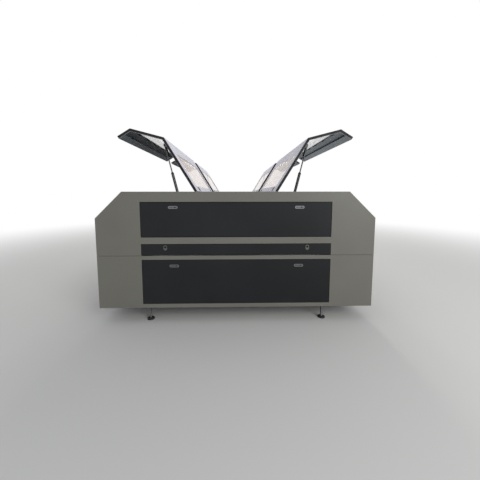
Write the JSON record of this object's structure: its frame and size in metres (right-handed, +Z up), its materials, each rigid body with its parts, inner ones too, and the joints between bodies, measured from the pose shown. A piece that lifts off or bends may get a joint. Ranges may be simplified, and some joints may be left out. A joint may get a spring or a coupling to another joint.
{
  "type": "laser engraving machine",
  "caption": "Enclosed flatbed laser engraving machine: grey cabinet with dark front doors and flap, gull-wing windowed lids on gas struts, gantry over a slat bed, castors and levelling feet.",
  "frame": {"origin": "on the floor under the centre of the machine's bounding box", "axes": "+Z up, +Y from the front doors to the rear, along the machine's length, +X to the right seen from the front"},
  "size_m": [2, 3.403, 1.4565],
  "materials": {
    "cabinet_paint": "light warm grey powder coat, fine texture",
    "door_paint": "dark grey powder coat, satin",
    "lid_paint": "pale grey powder coat outside, darker inside",
    "window": "glossy tinted acrylic",
    "strut_black": "gloss black",
    "strut_rod": "polished rod",
    "latch_zinc": "satin zinc",
    "lock_core": "dark steel",
    "frame_paint": "dark grey primer",
    "slat_alu": "mill finish",
    "beam_alu": "anodised",
    "rail_steel": "ground steel",
    "zinc_steel": "zinc plated",
    "wheel_nylon": "black nylon",
    "tube_glass": "clear glass",
    "housing_metal": "grey enamel",
    "controller_plastic": "dark moulded case",
    "panel_plastic": "membrane panel",
    "stop_red": "red mushroom cap",
    "nozzle_brass": "turned brass"
  },
  "bodies": {
    "cabinet": {"base_frame": "frame_paint", "floor_pan": "zinc_steel", "bed_shelves": "cabinet_paint", "front_hood": "cabinet_paint", "rear_hood": "cabinet_paint", "front_lower_panel": "cabinet_paint", "rear_lower_panel": "cabinet_paint", "rear_upper_panel": "cabinet_paint", "left_side_panel": "cabinet_paint", "right_side_panel": "cabinet_paint", "top_spine": "cabinet_paint", "work_table": "slat_alu", "bed_rails": "rail_steel", "laser_tube": "tube_glass", "tube_cradles": "beam_alu", "first_mirror_mount": "beam_alu", "laser_power_supply": "housing_metal", "motion_controller": "controller_plastic", "levelling_feet": "zinc_steel", "control_panel": "panel_plastic"},
    "right_front_lid": {"right_front_lid": "lid_paint", "right_front_windows": "window"},
    "right_front_strut_cylinder": {"right_front_strut_cylinder": "strut_black"},
    "right_front_strut_rod": {"right_front_strut_rod": "strut_rod"},
    "left_front_lid": {"left_front_lid": "lid_paint", "left_front_windows": "window"},
    "left_front_strut_cylinder": {"left_front_strut_cylinder": "strut_black"},
    "left_front_strut_rod": {"left_front_strut_rod": "strut_rod"},
    "right_rear_lid": {"right_rear_lid": "lid_paint", "right_rear_windows": "window"},
    "right_rear_strut_cylinder": {"right_rear_strut_cylinder": "strut_black"},
    "right_rear_strut_rod": {"right_rear_strut_rod": "strut_rod"},
    "left_rear_lid": {"left_rear_lid": "lid_paint", "left_rear_windows": "window"},
    "left_rear_strut_cylinder": {"left_rear_strut_cylinder": "strut_black"},
    "left_rear_strut_rod": {"left_rear_strut_rod": "strut_rod"},
    "upper_door": {"upper_door": "door_paint", "upper_latch_housings": "latch_zinc"},
    "feed_flap": {"feed_flap": "door_paint", "flap_lock_plates": "latch_zinc"},
    "lower_door": {"lower_door": "door_paint", "lower_latch_housings": "latch_zinc"},
    "upper_left_paddle": {"upper_left_paddle": "latch_zinc"},
    "upper_right_paddle": {"upper_right_paddle": "latch_zinc"},
    "lower_left_paddle": {"lower_left_paddle": "latch_zinc"},
    "lower_right_paddle": {"lower_right_paddle": "latch_zinc"},
    "left_lock_barrel": {"left_lock_barrel": "lock_core"},
    "right_lock_barrel": {"right_lock_barrel": "lock_core"},
    "gantry": {"gantry_beam": "beam_alu"},
    "head": {"head_carriage": "beam_alu"},
    "nozzle": {"laser_nozzle": "nozzle_brass"},
    "front_right_castor_fork": {"front_right_castor_fork": "zinc_steel"},
    "front_right_castor_wheel": {"front_right_castor_wheel": "wheel_nylon"},
    "front_left_castor_fork": {"front_left_castor_fork": "zinc_steel"},
    "front_left_castor_wheel": {"front_left_castor_wheel": "wheel_nylon"},
    "rear_right_castor_fork": {"rear_right_castor_fork": "zinc_steel"},
    "rear_right_castor_wheel": {"rear_right_castor_wheel": "wheel_nylon"},
    "rear_left_castor_fork": {"rear_left_castor_fork": "zinc_steel"},
    "rear_left_castor_wheel": {"rear_left_castor_wheel": "wheel_nylon"},
    "emergency_stop": {"emergency_stop": "stop_red"}
  },
  "joints": [
    {"name": "right_front_lid_hinge", "type": "hinge", "parent": "cabinet", "child": "right_front_lid", "pos_m": [0.309, -0.809, 0.962], "axis": [0, 1, 0], "range_deg": [0, 58.7]},
    {"name": "right_front_strut_swing", "type": "hinge", "parent": "cabinet", "child": "right_front_strut_cylinder", "pos_m": [0.435, -1.4345, 0.791], "axis": [0, 1, 0], "range_deg": [0, 52.6]},
    {"name": "right_front_strut_slide", "type": "slide", "parent": "right_front_strut_cylinder", "child": "right_front_strut_rod", "axis": [0.237, 0, 0.9715], "range_m": [-0.2028, 0]},
    {"name": "left_front_lid_hinge", "type": "hinge", "parent": "cabinet", "child": "left_front_lid", "pos_m": [-0.309, -0.809, 0.962], "axis": [0, -1, 0], "range_deg": [0, 58.7]},
    {"name": "left_front_strut_swing", "type": "hinge", "parent": "cabinet", "child": "left_front_strut_cylinder", "pos_m": [-0.435, -1.4345, 0.791], "axis": [0, -1, 0], "range_deg": [0, 52.6]},
    {"name": "left_front_strut_slide", "type": "slide", "parent": "left_front_strut_cylinder", "child": "left_front_strut_rod", "axis": [-0.237, 0, 0.9715], "range_m": [-0.2028, 0]},
    {"name": "right_rear_lid_hinge", "type": "hinge", "parent": "cabinet", "child": "right_rear_lid", "pos_m": [0.309, 0.762, 0.962], "axis": [0, 1, 0], "range_deg": [0, 58.7]},
    {"name": "right_rear_strut_swing", "type": "hinge", "parent": "cabinet", "child": "right_rear_strut_cylinder", "pos_m": [0.435, 1.3875, 0.791], "axis": [0, 1, 0], "range_deg": [0, 52.6]},
    {"name": "right_rear_strut_slide", "type": "slide", "parent": "right_rear_strut_cylinder", "child": "right_rear_strut_rod", "axis": [0.237, 0, 0.9715], "range_m": [-0.2028, 0]},
    {"name": "left_rear_lid_hinge", "type": "hinge", "parent": "cabinet", "child": "left_rear_lid", "pos_m": [-0.309, 0.762, 0.962], "axis": [0, -1, 0], "range_deg": [0, 58.7]},
    {"name": "left_rear_strut_swing", "type": "hinge", "parent": "cabinet", "child": "left_rear_strut_cylinder", "pos_m": [-0.435, 1.3875, 0.791], "axis": [0, -1, 0], "range_deg": [0, 52.6]},
    {"name": "left_rear_strut_slide", "type": "slide", "parent": "left_rear_strut_cylinder", "child": "left_rear_strut_rod", "axis": [-0.237, 0, 0.9715], "range_m": [-0.2028, 0]},
    {"name": "upper_door_hinge", "type": "hinge", "parent": "cabinet", "child": "upper_door", "pos_m": [0, -1.6905, 0.651], "axis": [1, 0, 0], "range_deg": [0, 90]},
    {"name": "feed_flap_hinge", "type": "hinge", "parent": "cabinet", "child": "feed_flap", "pos_m": [0, -1.6905, 0.519], "axis": [1, 0, 0], "range_deg": [0, 90]},
    {"name": "lower_door_hinge", "type": "hinge", "parent": "cabinet", "child": "lower_door", "pos_m": [0, -1.6905, 0.159], "axis": [1, 0, 0], "range_deg": [0, 90]},
    {"name": "upper_left_paddle_hinge", "type": "hinge", "parent": "upper_door", "child": "upper_left_paddle", "pos_m": [-0.474, -1.698, 0.855], "axis": [0, 0, -1], "range_deg": [0, 40]},
    {"name": "upper_right_paddle_hinge", "type": "hinge", "parent": "upper_door", "child": "upper_right_paddle", "pos_m": [0.426, -1.698, 0.855], "axis": [0, 0, -1], "range_deg": [0, 40]},
    {"name": "lower_left_paddle_hinge", "type": "hinge", "parent": "lower_door", "child": "lower_left_paddle", "pos_m": [-0.474, -1.698, 0.432], "axis": [0, 0, -1], "range_deg": [0, 40]},
    {"name": "lower_right_paddle_hinge", "type": "hinge", "parent": "lower_door", "child": "lower_right_paddle", "pos_m": [0.426, -1.698, 0.432], "axis": [0, 0, -1], "range_deg": [0, 40]},
    {"name": "left_lock_barrel_turn", "type": "hinge", "parent": "feed_flap", "child": "left_lock_barrel", "pos_m": [-0.511, -1.6985, 0.57], "axis": [0, -1, 0], "range_deg": [0, 90]},
    {"name": "right_lock_barrel_turn", "type": "hinge", "parent": "feed_flap", "child": "right_lock_barrel", "pos_m": [0.511, -1.6985, 0.57], "axis": [0, 1, 0], "range_deg": [0, 90]},
    {"name": "gantry_slide", "type": "slide", "parent": "cabinet", "child": "gantry", "axis": [0, -1, 0], "range_m": [0, 2.5]},
    {"name": "head_slide", "type": "slide", "parent": "gantry", "child": "head", "axis": [1, 0, 0], "range_m": [0, 1.2]},
    {"name": "nozzle_slide", "type": "slide", "parent": "head", "child": "nozzle", "axis": [0, 0, 1], "range_m": [0, 0.02]},
    {"name": "front_right_castor_swivel", "type": "hinge", "parent": "cabinet", "child": "front_right_castor_fork", "pos_m": [0.7, -1.4685, 0.122], "axis": [0, 0, 1], "continuous": true},
    {"name": "front_right_wheel_spin", "type": "hinge", "parent": "front_right_castor_fork", "child": "front_right_castor_wheel", "pos_m": [0.715, -1.44252, 0.047], "axis": [-0.866, 0.5, 0], "continuous": true},
    {"name": "front_left_castor_swivel", "type": "hinge", "parent": "cabinet", "child": "front_left_castor_fork", "pos_m": [-0.7, -1.4685, 0.122], "axis": [0, 0, 1], "continuous": true},
    {"name": "front_left_wheel_spin", "type": "hinge", "parent": "front_left_castor_fork", "child": "front_left_castor_wheel", "pos_m": [-0.685, -1.44252, 0.047], "axis": [-0.866, 0.5, 0], "continuous": true},
    {"name": "rear_right_castor_swivel", "type": "hinge", "parent": "cabinet", "child": "rear_right_castor_fork", "pos_m": [0.7, 1.4215, 0.122], "axis": [0, 0, 1], "continuous": true},
    {"name": "rear_right_wheel_spin", "type": "hinge", "parent": "rear_right_castor_fork", "child": "rear_right_castor_wheel", "pos_m": [0.715, 1.44748, 0.047], "axis": [-0.866, 0.5, 0], "continuous": true},
    {"name": "rear_left_castor_swivel", "type": "hinge", "parent": "cabinet", "child": "rear_left_castor_fork", "pos_m": [-0.7, 1.4215, 0.122], "axis": [0, 0, 1], "continuous": true},
    {"name": "rear_left_wheel_spin", "type": "hinge", "parent": "rear_left_castor_fork", "child": "rear_left_castor_wheel", "pos_m": [-0.685, 1.44748, 0.047], "axis": [-0.866, 0.5, 0], "continuous": true},
    {"name": "emergency_stop_press", "type": "slide", "parent": "cabinet", "child": "emergency_stop", "axis": [-0.6978, 0, -0.7163], "range_m": [0, 0.005]}
  ],
  "couplings": [
    {"joint": "right_front_strut_swing", "follows": "right_front_lid_hinge", "ratio": 0.89587},
    {"joint": "right_front_strut_slide", "follows": "right_front_lid_hinge", "m_per_rad": -0.19781},
    {"joint": "left_front_strut_swing", "follows": "left_front_lid_hinge", "ratio": 0.89587},
    {"joint": "left_front_strut_slide", "follows": "left_front_lid_hinge", "m_per_rad": -0.19781},
    {"joint": "right_rear_strut_swing", "follows": "right_rear_lid_hinge", "ratio": 0.89587},
    {"joint": "right_rear_strut_slide", "follows": "right_rear_lid_hinge", "m_per_rad": -0.19781},
    {"joint": "left_rear_strut_swing", "follows": "left_rear_lid_hinge", "ratio": 0.89587},
    {"joint": "left_rear_strut_slide", "follows": "left_rear_lid_hinge", "m_per_rad": -0.19781}
  ]
}
